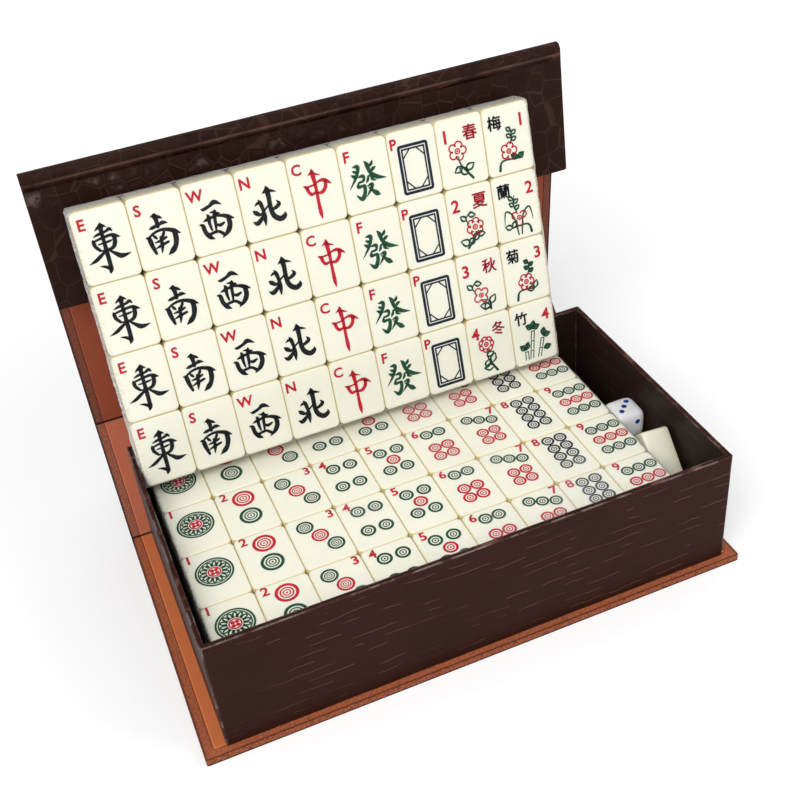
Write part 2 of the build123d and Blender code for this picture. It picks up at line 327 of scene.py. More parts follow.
COVER = ((0.0125, 0.0044, 0.0031), (0.0285, 0.0110, 0.0078))
cover_leather = scales("cover_leatherette", *COVER)
panel_leather = {f"{panel}_wrap": scales(f"cover_leatherette_{panel}", *COVER, panel)
                 for panel in ELEV}
tray_leather = creases("tray_leatherette", (0.0175, 0.0046, 0.0031), (0.0390, 0.0120, 0.0082),
                       spacing=4.7, run=15, share=0.5, shine=0.8)
inner_leather = creases("tray_lining_leatherette", (0.012, 0.0060, 0.0048), (0.034, 0.0185, 0.0150),
                        spacing=2.6, run=20, share=0.42, shine=0.2)

# %% [markdown]
# ## Lining
# Inside, every panel has a tan sheet with a line pressed round it, a grained border outside
# the line and smooth skin within. The line is in the solid, but its colour depends on the place in
# the panel: the finish paints shade into the line's groove and along the sheet's rim, and a painted
# highlight on the lip just inside the line. A Mapping node set to undo the panel's turn gives each
# its own flat coordinates. The panels share one tan, painted brighter on the base and darker on the
# lid and flap, as painted light and shade.


# %% Lining finishes, one for each panel
def lining(panel, first, last, smooth, border):
    """first and last are the sheet's ends, in millimetres away from the panel's fold."""
    finish = Finish(f"{panel}_lining_tan")
    here = finish.place()
    across, along, _ = finish.axes(panel_place(finish, panel))
    inward = (PANEL_W / 2 - 0.5) * MM - across.size()
    ends = (along - first * MM).least(last * MM - along)
    if panel == "base":
        inward = inward.least(last * MM - along)
    outside = 1 - finish.ease(inward, 3.5 * MM, 3.7 * MM)
    # The pressed line's groove and the sheet's rim are painted dark, as painted shade; the lip just
    # inside the line is painted lighter, as a painted highlight.
    line = finish.band(inward, 3.35 * MM, 3.55 * MM, 3.75 * MM, 3.95 * MM)
    lip = finish.band(inward, 3.85 * MM, 4.0 * MM, 4.2 * MM, 4.6 * MM)
    rim = 1 - finish.ease(inward.least(ends), 0.1 * MM, 0.6 * MM)
    mottle = finish.noise(here, 34, 4.0)
    grain = finish.cells(finish.warp(here, 300, 0.002), 520, "DISTANCE_TO_EDGE", 1.0)
    grainy = finish.ease(grain, 0.0, 0.12)
    fibre = finish.noise(here, 2200, 2.0)
    skin = finish.blend(mottle, smooth, tuple(c * 0.82 for c in smooth))
    edged = finish.blend(outside * (0.65 + mottle * 0.3), skin, border)
    dented = finish.blend(outside * (1 - grainy) * 0.5, edged, tuple(c * 0.4 for c in border))
    # Painted highlight on the lip just inside the pressed line.
    lip_highlighted = finish.blend(lip * 0.35, dented, tuple(min(1.0, c * 1.7) for c in smooth))
    # Painted shade in the groove of the pressed line and along the sheet's rim.
    colour = finish.blend((line * 0.6).most(rim * 0.8), lip_highlighted, (0.045, 0.016, 0.010))
    height = grainy * outside * 0.8 + fibre * 0.12 + mottle * 0.2
    return finish.surface(Base_Color=colour, Roughness=0.42 + mottle * 0.2 + outside * 0.08,
                          Specular_IOR_Level=0.18, Normal=finish.bump(height, 0.4, 0.25 * MM))


# The four linings are one tan sheet. The base is painted brightest and the lid and flap darkest, as
# painted light and shade on each panel.
linings = {
    "base_lining": lining("base", 0.3, 133.7, (0.60, 0.165, 0.055), (0.33, 0.092, 0.042)),
    "spine_lining": lining("spine", 0.3, 55.5, (0.47, 0.120, 0.055), (0.27, 0.085, 0.048)),
    "lid_lining": lining("lid", 0.3, 128.7, (0.34, 0.078, 0.036), (0.20, 0.066, 0.042)),
    "flap_lining": lining("flap", 2.5, 55.0, (0.34, 0.078, 0.036), (0.20, 0.066, 0.042)),
}

# %% [markdown]
# ## Board, tiles, inks, film and die
# Grey board shows only where a wrap is lifted, but it is finished all the same. Tiles are glossy
# ivory plastic. Down their sides the colour is painted deeper and yellower, as painted shade and
# bounced light in the gaps between tiles: the side is stored on the mesh as an attribute, and the
# finish reads it. Inks are a little uneven, as paint in a mould is.


# %% Plain finishes
def greyboard():
    finish = Finish("greyboard")
    here = finish.place()
    fibres = finish.noise(finish.scaled(here, (300, 300, 1800)), 1.0, 5.0, 0.7)
    flecks = finish.ease(finish.noise(here, 900, 2.0), 0.62, 0.72)
    pulp = finish.blend(fibres, (0.30, 0.28, 0.25), (0.42, 0.40, 0.36))
    colour = finish.blend(flecks * 0.5, pulp, (0.16, 0.15, 0.14))
    return finish.surface(Base_Color=colour, Roughness=0.86 + fibres * 0.1,
                          Normal=finish.bump(fibres, 0.4, 0.1 * MM))


def ivory():
    finish = Finish("tile_ivory")
    here = finish.place()
    side = finish.add("ShaderNodeAttribute", {"attribute_name": "side"}).out("Fac")
    cloud = finish.noise(here, 45, 3.0)
    swirl = finish.noise(here, 260, 2.0)
    face = finish.blend(cloud, (0.83, 0.815, 0.685), (0.88, 0.87, 0.755))
    # Down the sides the ivory is painted deeper and yellower, as painted shade and bounced light in
    # the gaps between tiles.
    colour = finish.blend(side, face, (0.78, 0.63, 0.27))
    return finish.surface(Base_Color=colour, Roughness=0.16 + swirl * 0.10, Specular_IOR_Level=0.5,
                          Subsurface_Weight=0.35, Subsurface_Radius=(1.0, 0.85, 0.5),
                          Subsurface_Scale=1.6 * MM, Coat_Weight=0.25, Coat_Roughness=0.08,
                          Normal=finish.bump(cloud, 0.12, 0.2 * MM))


def ink(name, colour):
    finish = Finish(name)
    here = finish.place()
    uneven = finish.noise(here, 1400, 3.0)
    pale = tuple(min(1.0, c * 1.25 + 0.012) for c in colour)
    return finish.surface(Base_Color=finish.blend(finish.ease(uneven, 0.35, 0.75), colour, pale),
                          Roughness=0.34 + uneven * 0.2, Specular_IOR_Level=0.15,
                          Normal=finish.bump(uneven, 0.2, 0.05 * MM))


def clear_film(name, painted_glare):
    finish = Finish(name)
    here = finish.place()
    loose = finish.add("ShaderNodeAttribute", {"attribute_name": "loose"}).out("Fac")
    folds = finish.noise(finish.scaled(here, (150, 150, 420)), 1.0, 2.0, 0.5, 1.0)
    ridge_highlight = 1 - finish.ease((folds - 0.5).size(), 0.0, 0.05)
    sag = finish.noise(here, 38, 2.0)
    gloss = finish.add("ShaderNodeFresnel", None, {"IOR": 1.35})
    glare_patches = finish.ease(finish.noise(here, 14, 2.0), 0.45, 0.75)
    # The film is painted whiter and more opaque as painted reflection: in patches scaled by the
    # glare amount, along wrinkles and gathered ends, and at grazing angles.
    alpha = glare_patches * painted_glare + loose * (0.12 + ridge_highlight * 0.35) + gloss * (0.25 + loose * 0.6)
    height = ridge_highlight * loose * 0.7 + folds * loose + sag * 0.35
    colour = finish.blend(ridge_highlight * loose, (0.90, 0.91, 0.92), (1.0, 1.0, 1.0))
    return finish.surface(Base_Color=colour, Roughness=0.08 + folds * 0.12,
                          Alpha=alpha.least(0.85), Specular_IOR_Level=0.8,
                          Normal=finish.bump(height, 0.5, 0.35 * MM))


def die_plastic():
    finish = Finish("die_plastic")
    here = finish.place()
    cloud = finish.noise(here, 160, 3.0)
    return finish.surface(Base_Color=finish.blend(cloud, (0.80, 0.82, 0.84), (0.88, 0.89, 0.89)),
                          Roughness=0.14 + cloud * 0.1, Coat_Weight=0.3,
                          Normal=finish.bump(cloud, 0.1, 0.1 * MM))


board_grey, tile_ivory, die_white = greyboard(), ivory(), die_plastic()
film_clear = clear_film("shrink_film", 0.006)
film_glare = clear_film("shrink_film_glare", 0.17)
INKS = {"black": ink("ink_black", (0.003, 0.004, 0.006)),
        "red": ink("ink_red", (0.46, 0.006, 0.022)),
        "green": ink("ink_green", (0.006, 0.062, 0.026)),
        "navy": ink("ink_navy", (0.006, 0.010, 0.026)),
        "blue": ink("pip_blue", (0.010, 0.030, 0.28))}
print("finishes:", len(bpy.data.materials))

# %% Dress the solid nodes that stay
for node_name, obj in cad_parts.items():
    if node_name in linings:
        wanted = linings[node_name]
    elif node_name in ("tray_floor_lining", "tray_wall_lining"):
        wanted = inner_leather
    elif node_name == "tray_wrap":
        wanted = tray_leather
    elif node_name.endswith("_wrap") or node_name == "base_hinge_strip":
        wanted = panel_leather.get(node_name, cover_leather)
    elif node_name.endswith("_board"):
        wanted = board_grey
    elif node_name.endswith("_film"):
        wanted = film_clear
    elif node_name == "die":
        wanted = die_white
    else:
        wanted = tile_ivory
    obj.data.materials.clear()
    obj.data.materials.append(wanted)

# %% [markdown]
# ## Tiles
# A tile is a block with a round plan corner and a soft edge all round. Subdivision would cost
# thousands of faces for each of the 146 tiles. Rings of points at a few insets and heights give
# the same highlight with about a hundred, because one ring just inside the face keeps it flat.
# A pack repeats one tile on a grid, which is what Geometry Nodes are for: one tree puts a copy on
# every point, nudges it by a seeded amount and gives it its finish.

# %% One tile
TILE_W, TILE_D, TILE_H, TILE_R = 21.9, 29.9, 12.4, 2.2
PITCH_X, PITCH_Y = 22.0, 30.0
EDGE_R = 0.75


def link(name, data):
    obj = bpy.data.objects.new(name, data)
    bpy.context.scene.collection.objects.link(obj)
    return obj


def build(name, points, faces, materials=(), smooth=True, **stored):
    """A mesh object from points in millimetres. Named lists of values are stored on its points."""
    mesh = bpy.data.meshes.new(name)
    mesh.from_pydata([tuple(v * MM for v in point) for point in points], [], faces)
    for label, values in stored.items():
        mesh.attributes.new(label, "FLOAT", "POINT").data.foreach_set("value", values)
    for material in materials:
        mesh.materials.append(material)
    if smooth:
        mesh.shade_smooth()
    return link(name, mesh)


def outline(width, depth, radius, per_corner=3):
    points = []
    for quarter, (sx, sy) in enumerate(((1, 1), (-1, 1), (-1, -1), (1, -1))):
        for step in range(per_corner + 1):
            angle = math.radians(90 * (quarter + step / per_corner))
            points.append((sx * (width / 2 - radius) + radius * math.cos(angle),
                           sy * (depth / 2 - radius) + radius * math.sin(angle)))
    return points


def tile():
    """Rings of points from the face down, each with its inset, height and share of the sides'
    painted shade.
    """
    half, slope = TILE_H / 2, EDGE_R * (1 - math.cos(math.radians(45)))
    rings = [(EDGE_R + 0.35, half, 0.0), (EDGE_R, half, 0.0), (slope, half - slope, 0.2),
             (0, half - EDGE_R, 1.0), (0, half - 3.2, 0.35), (0, EDGE_R - half, 0.3),
             (slope, slope - half, 0.2), (EDGE_R, -half, 0.0)]
    verts, side = [], []
    for inset, height, down in rings:
        ring = outline(TILE_W - 2 * inset, TILE_D - 2 * inset, max(TILE_R - inset, 0.4))
        verts += [(x, y, height) for x, y in ring]
        side += [down] * len(ring)
    count = len(verts) // len(rings)
    faces = [list(range(count)), [len(verts) - 1 - i for i in range(count)]]
    for level in range(len(rings) - 1):
        a = level * count
        faces += [[a + i, a + count + i, a + count + (i + 1) % count, a + (i + 1) % count]
                  for i in range(count)]
    return build("tile_pattern", verts, faces, side=side)


tile_pattern = tile()
print("faces in one tile:", len(tile_pattern.data.polygons))


# %% The tree that places copies
def copier():
    tree = bpy.data.node_groups.new("place_copies", "GeometryNodeTree")
    tree.is_modifier = True
    sockets = {"Points": "Geometry", "Pattern": "Object", "Size": "Float", "Turn": "Float",
               "Shift": "Float", "Seed": "Int", "Finish": "Material"}
    for label, kind in sockets.items():
        tree.interface.new_socket(name=label, in_out="INPUT", socket_type="NodeSocket" + kind)
    tree.interface.new_socket(name="Copies", in_out="OUTPUT", socket_type="NodeSocketGeometry")

    def add(kind, inputs=None, **settings):
        node = tree.nodes.new(kind)
        for key, value in settings.items():
            setattr(node, key, value)
        for key, value in (inputs or {}).items():
            if isinstance(value, bpy.types.NodeSocket):
                tree.links.new(value, node.inputs[key])
            else:
                node.inputs[key].default_value = value
        return node

    given = add("NodeGroupInput").outputs
    pattern = add("GeometryNodeObjectInfo", {"Object": given["Pattern"]})
    placed = add("GeometryNodeInstanceOnPoints",
                 {"Points": given["Points"], "Scale": given["Size"],
                  "Instance": pattern.outputs["Geometry"]})
    nudges = []
    for low, high, amount in (((0, 0, -1), (0, 0, 1), "Turn"), ((-1, -1, 0), (1, 1, 0), "Shift")):
        chance = add("FunctionNodeRandomValue", {"Min": low, "Max": high, "Seed": given["Seed"]},
                     data_type="FLOAT_VECTOR")
        nudge = add("ShaderNodeVectorMath", {0: chance.outputs[0], "Scale": given[amount]},
                    operation="SCALE")
        nudges.append(nudge.outputs[0])
    turned = add("GeometryNodeRotateInstances",
                 {"Instances": placed.outputs[0], "Rotation": nudges[0]})
    moved = add("GeometryNodeTranslateInstances",
                {"Instances": turned.outputs[0], "Translation": nudges[1]})
    real = add("GeometryNodeRealizeInstances", {"Geometry": moved.outputs[0]})
    dressed = add("GeometryNodeSetMaterial",
                  {"Geometry": real.outputs[0], "Material": given["Finish"]})
    add("NodeGroupOutput", {"Copies": dressed.outputs[0]})
    return tree, {item.name: item.identifier for item in tree.interface.items_tree
                  if item.in_out == "INPUT"}


COPY_TREE, COPY_INPUT = copier()


def copies(name, pattern, spots, finish, size=1.0, turn=0.0, shift=0.0, seed=1):
    obj = build(name, spots, [], smooth=False)
    modifier = obj.modifiers.new("copies", "NODES")
    modifier.node_group = COPY_TREE
    for label, value in (("Pattern", pattern), ("Size", float(size)), ("Turn", float(turn)),
                         ("Shift", float(shift)), ("Seed", seed), ("Finish", finish)):
        modifier[COPY_INPUT[label]] = value
    graph = bpy.context.evaluated_depsgraph_get()
    mesh = bpy.data.meshes.new_from_object(obj.evaluated_get(graph), depsgraph=graph,
                                           preserve_all_data_layers=True)
    obj.modifiers.clear()
    obj.data = mesh
    return obj


# %% Where each pack lies
COLS, ROWS = 9, 4
PACK_W, PACK_D = COLS * PITCH_X, ROWS * PITCH_Y
SKIN = 0.25


def turn_about(axis, degrees):
    return Matrix.Rotation(math.radians(degrees), 4, axis)


def lying(film_node):
    """From the pack's own coordinates, upper left corner of its face, to the frame."""
    low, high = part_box(film_node)
    return Matrix.Translation((low.x + SKIN * MM, high.y - SKIN * MM, high.z - SKIN * MM))


LEAN_FOOT = Vector((-106.3, 39.63, 51.18))    # lower left corner of the leaning pack's face
LEAN_YAW, LEAN_ROLL, LEAN_RISE = 1.0, 0.8, 75.6
leaning = (Matrix.Translation(LEAN_FOOT * MM) @ turn_about("Z", LEAN_YAW)
           @ turn_about("Y", LEAN_ROLL) @ turn_about("X", LEAN_RISE)
           @ Matrix.Translation((0, PACK_D * MM, 0)))
PACKS = {pack: lying(f"{pack}_film") for pack in ("character", "bamboo", "dots")}
PACKS["honours"] = leaning
NUDGE = {"turn": 0.0006, "shift": 0.02 * MM}    # radians and metres that a tile may be off its grid
HONOURS = ("east_wind", "south_wind", "west_wind", "north_wind", "red_dragon", "green_dragon",
           "white_dragon", "season", "flower")
COLUMN_NODES = {"dots": [f"dot_{n + 1}" for n in range(COLS)], "honours": list(HONOURS)}


def spot(col, row, z=-TILE_H / 2):
    return (col + 0.5) * PITCH_X, -(row + 0.5) * PITCH_Y, z


def settle(obj, matrix, body, slot_name, *nodes):
    """Give a finished piece its place and its body, and hide the solid nodes it stands for.
    slot_name is not used.
    """
    obj.data.transform(matrix)
    obj.data.update()
    if nodes:
        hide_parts(*nodes)
    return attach(obj, body)


for pack in ("character", "bamboo"):
    grid = [spot(col, row) for col in range(COLS) for row in range(ROWS)]
    group = copies(f"{pack}_tile_set", tile_pattern, grid, tile_ivory, seed=3, **NUDGE)
    settle(group, PACKS[pack], f"{pack}_pack", "tile", f"{pack}_tiles")
for pack, columns in COLUMN_NODES.items():
    for col, column in enumerate(columns):
        group = copies(f"{column}_tile_set", tile_pattern,
                       [spot(col, row) for row in range(ROWS)], tile_ivory, seed=11 + col, **NUDGE)
        settle(group, PACKS[pack], f"{pack}_pack", "tile", f"{column}_tiles")
print("tile columns placed")

# %% [markdown]
# ## Loose blank tiles
# Two plain tiles lie in the gap beside the packs, one standing on its long side and one askew
# on it. They use the same rounded tile, turned as the solids are turned.

# %% Blank tiles
on_side = turn_about("Y", 90)
askew = turn_about("Z", -3.5) @ turn_about("X", 42) @ on_side
# The blanks lie clear of other tiles with their sides in the light, so their sides take only part
# of the painted gap shade.
BLANK_GAP_SHADE = 0.35
for name, body, turns in (("blank_tile_under", "lower_blank", on_side),
                          ("blank_tile_askew", "upper_blank", askew)):
    low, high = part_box(name)
    blank = link(name + "_piece", tile_pattern.data.copy())
    for value in blank.data.attributes["side"].data:
        value.value *= BLANK_GAP_SHADE
    blank.data.materials.append(tile_ivory)
    settle(blank, Matrix.Translation((low + high) / 2) @ turns, body, "tile", name)

# %% [markdown]
# ## Marks
# The marks are the game's own: winds and dragons written with a brush, circles, numerals and
# small flowers. A font could write them all, but brush strokes swell and taper. So each large
# character is a few strokes, given as points with widths, and only small signs use the font.
# A mark is a flat skin of paint three hundredths of a millimetre above its tile.

# %% Brush strokes
PAINT_Z = 0.03
BESIDE = ((-0.2, 0), (0.2, 0), (0, -0.17), (0, 0.17))


def curve_through(points, steps):
    """Points along a smooth line through the given ones, with their widths."""
    padded = [points[0]] + list(points) + [points[-1]]
    line = []
    for i in range(1, len(padded) - 2):
        p0, p1, p2, p3 = (np.array(padded[j], float) for j in range(i - 1, i + 3))
        for step in range(steps):
            t = step / steps
            line.append(0.5 * (2 * p1 + (p2 - p0) * t + (2 * p0 - 5 * p1 + 4 * p2 - p3) * t ** 2
                               + (3 * p1 - p0 - 3 * p2 + p3) * t ** 3))
    line.append(np.array(padded[-1], float))
    return line


class Marks:
    """Flat painted shapes of one tile, gathered as faces with an ink."""

    def __init__(self):
        self.verts, self.faces, self.inks = [], [], []

    def polygon(self, points, faces, ink_name):
        base = len(self.verts)
        self.verts += [(float(x), float(y)) for x, y in points]
        self.faces += [[base + i for i in face] for face in faces]
        self.inks += [ink_name] * len(faces)

    def stroke(self, points, ink_name, steps=5):
        """points are (x, y, width) in millimetres from the tile's centre."""
        line = curve_through(points, steps if len(points) > 2 else 2)
        left, right = [], []
        for i, (x, y, width) in enumerate(line):
            ahead = line[min(i + 1, len(line) - 1)][:2] - line[max(i - 1, 0)][:2]
            ahead = ahead / (np.hypot(*ahead) or 1)
            side = np.array((-ahead[1], ahead[0])) * width / 2
            left.append((x + side[0], y + side[1]))
            right.append((x - side[0], y - side[1]))
        count = len(line)
        faces = [[count + i, count + i + 1, i + 1, i] for i in range(count - 1)]
        self.polygon(left + right, faces, ink_name)
        for x, y, width in (line[0], line[-1]):
            self.disc(x, y, width / 2, ink_name, 8)

    def disc(self, x, y, radius, ink_name, count=16):
        ring = [(x + radius * math.cos(a), y + radius * math.sin(a))
                for a in (2 * math.pi * i / count for i in range(count))]
        self.polygon(ring, [list(range(count))], ink_name)

    def ring(self, x, y, outer, inner, ink_name, count=28):
        turn = [2 * math.pi * i / count for i in range(count)]
        points = [(x + r * math.cos(a), y + r * math.sin(a)) for r in (outer, inner) for a in turn]
        faces = [[i, (i + 1) % count, count + (i + 1) % count, count + i] for i in range(count)]
        self.polygon(points, faces, ink_name)

    def frame(self, outer, inner, ink_name):
        """Band between two outlines with as many points."""
        count = len(outer)
        faces = [[i, (i + 1) % count, count + (i + 1) % count, count + i] for i in range(count)]
        self.polygon(outer + inner, faces, ink_name)

    def sign(self, text, x, y, height, ink_name, bold=0.028):
        """bold thickens the font's outline. At 0 a sign is thickened by writing it again beside."""
        points, faces = glyph(text, height, bold)
        for dx, dy in ((0, 0),) if bold else BESIDE:
            self.polygon([(x + dx + px, y + dy + py) for px, py in points], faces, ink_name)


GLYPHS = {}


def written_sign(text, offset):
    curve = bpy.data.curves.new("sign", "FONT")
    curve.body, curve.size, curve.fill_mode, curve.offset = text, 1.0, "FRONT", offset
    curve.resolution_u = 3
    writer = link("sign", curve)
    graph = bpy.context.evaluated_depsgraph_get()
    mesh = bpy.data.meshes.new_from_object(writer.evaluated_get(graph), depsgraph=graph)
    bpy.data.objects.remove(writer)
    return mesh


def glyph(text, height, bold):
    """A sign of the built-in font as flat faces, its box centred, in millimetres.

    The font draws some signs' outlines the other way round, so that an offset thins them. Both
    ways are tried, and the one with more ink is kept."""
    if (text, height, bold) not in GLYPHS:
        tries = [written_sign(text, offset) for offset in {bold, -bold}]
        mesh = max(tries, key=lambda made: sum(p.area for p in made.polygons))
        points = np.array([v.co[:2] for v in mesh.vertices])
        low, high = points.min(0), points.max(0)
        points = (points - (low + high) / 2) * height / (high[1] - low[1])
        faces = [list(p.vertices) if p.normal.z > 0 else list(p.vertices)[::-1]
                 for p in mesh.polygons]
        GLYPHS[text, height, bold] = (points.tolist(), faces)
    return GLYPHS[text, height, bold]


# %% Characters as strokes, each point x, y, width in tenths of a millimetre
CHARACTERS = {
    "east": [
        [(-3, 90, 3), (-3, 77, 23), (-5, 58, 17), (-5, 15, 15), (-5, -25, 18), (-5, -76, 17),
         (-7, -100, 19), (-13, -114, 5)], [(-30, 62, 2), (-16, 71, 12), (-3, 79, 12)],
        [(18, 68, 2), (8, 75, 10), (-2, 81, 12)],
        [(-40, 40, 4), (-20, 46, 12), (12, 52, 11), (26, 58, 15), (35, 49, 6)],
        [(-46, 30, 4), (-45, 20, 15), (-42, 2, 15), (-28, -17, 12)],
        [(-46, 22, 8), (-10, 29, 11), (26, 33, 13), (42, 26, 17), (61, 18, 2)],
        [(36, 28, 15), (36, 4, 18), (24, -16, 15), (-2, -22, 11), (-30, -18, 6)],
        [(-28, 7, 6), (12, 10, 10), (26, 13, 5)], [(-46, -78, 2), (-26, -84, 12), (-8, -96, 16)],
        [(-6, -22, 8), (-34, -40, 15), (-56, -53, 14), (-83, -62, 2)],
        [(4, -22, 6), (26, -42, 15), (48, -57, 20), (84, -54, 3)]],
    "south": [
        [(-11, 73, 3), (-12, 63, 18), (-9, 42, 15), (-9, 18, 14)],
        [(-30, 60, 2), (-18, 64, 10), (-10, 64, 12)], [(-9, 60, 12), (5, 53, 11), (15, 46, 3)],
        [(-44, 15, 4), (-30, 18, 13), (-5, 24, 10), (14, 29, 14), (32, 23, 2)],
        [(-67, -17, 2), (-54, -22, 16), (-49, -50, 16), (-40, -86, 10)],
        [(-56, -20, 8), (-30, -4, 9), (4, 2, 11), (36, -7, 15), (54, -18, 17), (73, -29, 2)],
        [(50, -18, 17), (50, -46, 19), (42, -72, 17), (26, -90, 19), (6, -103, 3)],
        [(-36, -10, 5), (-30, -20, 11), (-24, -28, 7)], [(9, -9, 10), (2, -22, 11), (-6, -32, 5)],
        [(-34, -43, 5), (-10, -39, 11), (14, -31, 8)],
        [(-35, -66, 5), (-10, -58, 11), (18, -51, 9)],
        [(-8, -26, 10), (-10, -60, 13), (-17, -88, 4)]],
    "west": [
        [(-49, 42, 2), (-38, 37, 13), (-10, 46, 13), (11, 56, 19), (38, 41, 3)],
        [(5, 28, 2), (4, 16, 16), (-1, -6, 14), (-3, -36, 12), (-8, -64, 5)],
        [(-18, 20, 2), (-6, 18, 9), (4, 18, 10)],
        [(-30, 15, 3), (-25, 4, 15), (-26, -24, 13), (-22, -52, 8)],
        [(-50, -11, 3), (-34, -6, 12), (-6, 0, 11), (14, 9, 12), (24, 5, 3)],
        [(-2, -32, 6), (14, -40, 14), (32, -34, 9)],
        [(-69, -20, 2), (-55, -26, 16), (-50, -54, 17), (-36, -77, 18), (-20, -89, 4)],
        [(6, 0, 7), (34, -5, 14), (56, -16, 17), (76, -26, 3)],
        [(53, -16, 18), (54, -46, 20), (40, -72, 19), (14, -92, 4)],
        [(-40, -68, 12), (-14, -63, 12), (4, -64, 12), (22, -80, 14)]],
    "north": [
        [(9, 67, 3), (11, 52, 22), (13, 20, 20), (12, -26, 20), (20, -60, 22), (44, -78, 23),
         (64, -69, 20), (67, -56, 5)], [(-11, 39, 2), (0, 46, 12), (10, 52, 12)],
        [(12, 48, 14), (28, 43, 12), (48, 36, 3)],
        [(41, 0, 3), (50, -16, 17), (32, -29, 15), (14, -32, 10)],
        [(-34, 20, 2), (-26, 4, 17), (-20, -30, 15), (-20, -60, 19), (-22, -90, 5)],
        [(-52, -2, 2), (-40, 5, 12), (-28, 8, 12)],
        [(-61, -22, 8), (-52, -31, 20), (-36, -42, 13), (-22, -34, 8)],
        [(-70, -65, 5), (-56, -74, 20), (-39, -64, 18), (-22, -46, 10)],
        [(-16, -28, 9), (-2, -18, 8), (10, -8, 8)]],
    "centre": [
        [(-10, 88, 3), (-9, 70, 19), (-5, 20, 15), (-5, -50, 14), (-4, -96, 17), (-2, -124, 3)],
        [(-31, 63, 2), (-18, 70, 10), (-9, 74, 10)], [(-8, 70, 10), (7, 62, 9), (23, 56, 2)],
        [(-55, 24, 5), (-43, 16, 16), (-38, -2, 14), (-27, -15, 14), (-6, -9, 8)],
        [(-44, 18, 9), (-14, 21, 8), (10, 31, 9), (30, 33, 15), (46, 24, 16), (66, 10, 2)],
        [(40, 26, 15), (36, 2, 16), (18, -16, 15), (-6, -13, 8)]],
    "fortune": [
        [(-2, 64, 3), (8, 48, 14), (16, 16, 12), (42, -10, 15), (84, -23, 2)],
        [(34, 60, 3), (28, 48, 11), (14, 36, 5)], [(44, 32, 3), (32, 26, 12), (20, 16, 4)],
        [(-56, 50, 3), (-36, 49, 14), (-34, 34, 12), (-50, 2, 10), (-82, -38, 2)],
        [(-68, 19, 3), (-54, 10, 13), (-46, 4, 5)], [(-59, 35, 3), (-49, 29, 10), (-40, 24, 5)],
        [(-38, 4, 4), (-26, 6, 10), (-15, 4, 11), (-18, -14, 9), (-39, -18, 7)],
        [(-40, -17, 5), (-45, -35, 12), (-26, -35, 9), (-17, -38, 12), (-20, -64, 13),
         (-36, -88, 15), (-58, -68, 3)], [(6, 0, 5), (2, -14, 10), (-7, -26, 3)],
        [(4, 0, 5), (22, -1, 11), (22, -16, 10), (38, -24, 3)],
        [(-5, -40, 3), (16, -36, 12), (10, -54, 11), (-16, -84, 2)],
        [(0, -46, 4), (18, -66, 12), (32, -79, 17), (44, -86, 5)]],
}
WEIGHT = {"south": 1.16, "west": 1.06, "fortune": 1.32}    # those of many strokes want more ink


def character(marks, name, ink_name):
    weight = WEIGHT.get(name, 1.0)
    for line in CHARACTERS[name]:
        marks.stroke([(x / 10, y / 10, width / 10 * weight) for x, y, width in line], ink_name)


# %% Winds and dragons
def wind(name, letter, ink_name="black"):
    def draw(row):
        marks = Marks()
        marks.sign(letter, -6.0 if letter == "W" else -7.3, 9.6, 4.7, "red")
        character(marks, name, ink_name)
        return marks
    return draw


FRAME_W, FRAME_H, FRAME_Y = 14.0, 21.2, -1.7


def framed(row):
    """The white dragon: a heavy frame, and a thin one with its corners cut off."""
    marks = Marks()
    marks.sign("P", -8.3, 9.9, 4.6, "red")

    def edge(inset, radius):
        corners = outline(FRAME_W - 2 * inset, FRAME_H - 2 * inset, max(radius, 0.05))
        return [(x, y + FRAME_Y) for x, y in corners]

    for inset, thick, radius in ((0.0, 1.25, 1.3), (1.65, 0.75, 0.3)):
        marks.frame(edge(inset, radius), edge(inset + thick, radius - thick), "navy")
    for sx in (-1, 1):
        for sy in (-1, 1):
            marks.stroke([(sx * 1.5, sy * 8.5 + FRAME_Y, 0.6),
                          (sx * 4.7, sy * 5.0 + FRAME_Y, 0.6)], "navy")
    return marks


# %% [markdown]
# ### Flowers and seasons
# Each of these eight tiles has a small sign, a numeral and a flower. The sprays here are drawn
# by rule: a bent stem, outlined leaves along it and a blossom of rings of petals, with other
# bends and petal counts on every tile.


# %% Sprays
def blossom(marks, x, y, radius, petals, turn):
    for i in range(petals):
        angle = turn + 2 * math.pi * i / petals
        cx, cy = x + 0.62 * radius * math.cos(angle), y + 0.62 * radius * math.sin(angle)
        petal = 0.42 * radius
        arc = [(cx + petal * math.cos(angle + bend), cy + petal * math.sin(angle + bend), 0.7)
               for bend in (-2.0, -1.2, -0.4, 0.4, 1.2, 2.0)]
        marks.stroke(arc, "red", 2)
    marks.ring(x, y, 0.34 * radius, 0.34 * radius - 0.6, "red", 14)
    marks.disc(x, y, 0.13 * radius, "red", 8)


def leaf(marks, x, y, angle, length, filled=False):
    tip = (x + length * math.cos(angle), y + length * math.sin(angle))
    half = 0.55 * length
    for bend in (0.55, -0.55):
        side = (x + half * math.cos(angle + bend), y + half * math.sin(angle + bend))
        marks.stroke([(x, y, 0.5), (*side, 0.95), (*tip, 0.5)], "green", 4)
    if filled:
        middle = ((x + tip[0]) / 2, (y + tip[1]) / 2)
        marks.stroke([(x, y, 0.2), (*middle, length * 0.28), (*tip, 0.1)], "green", 4)


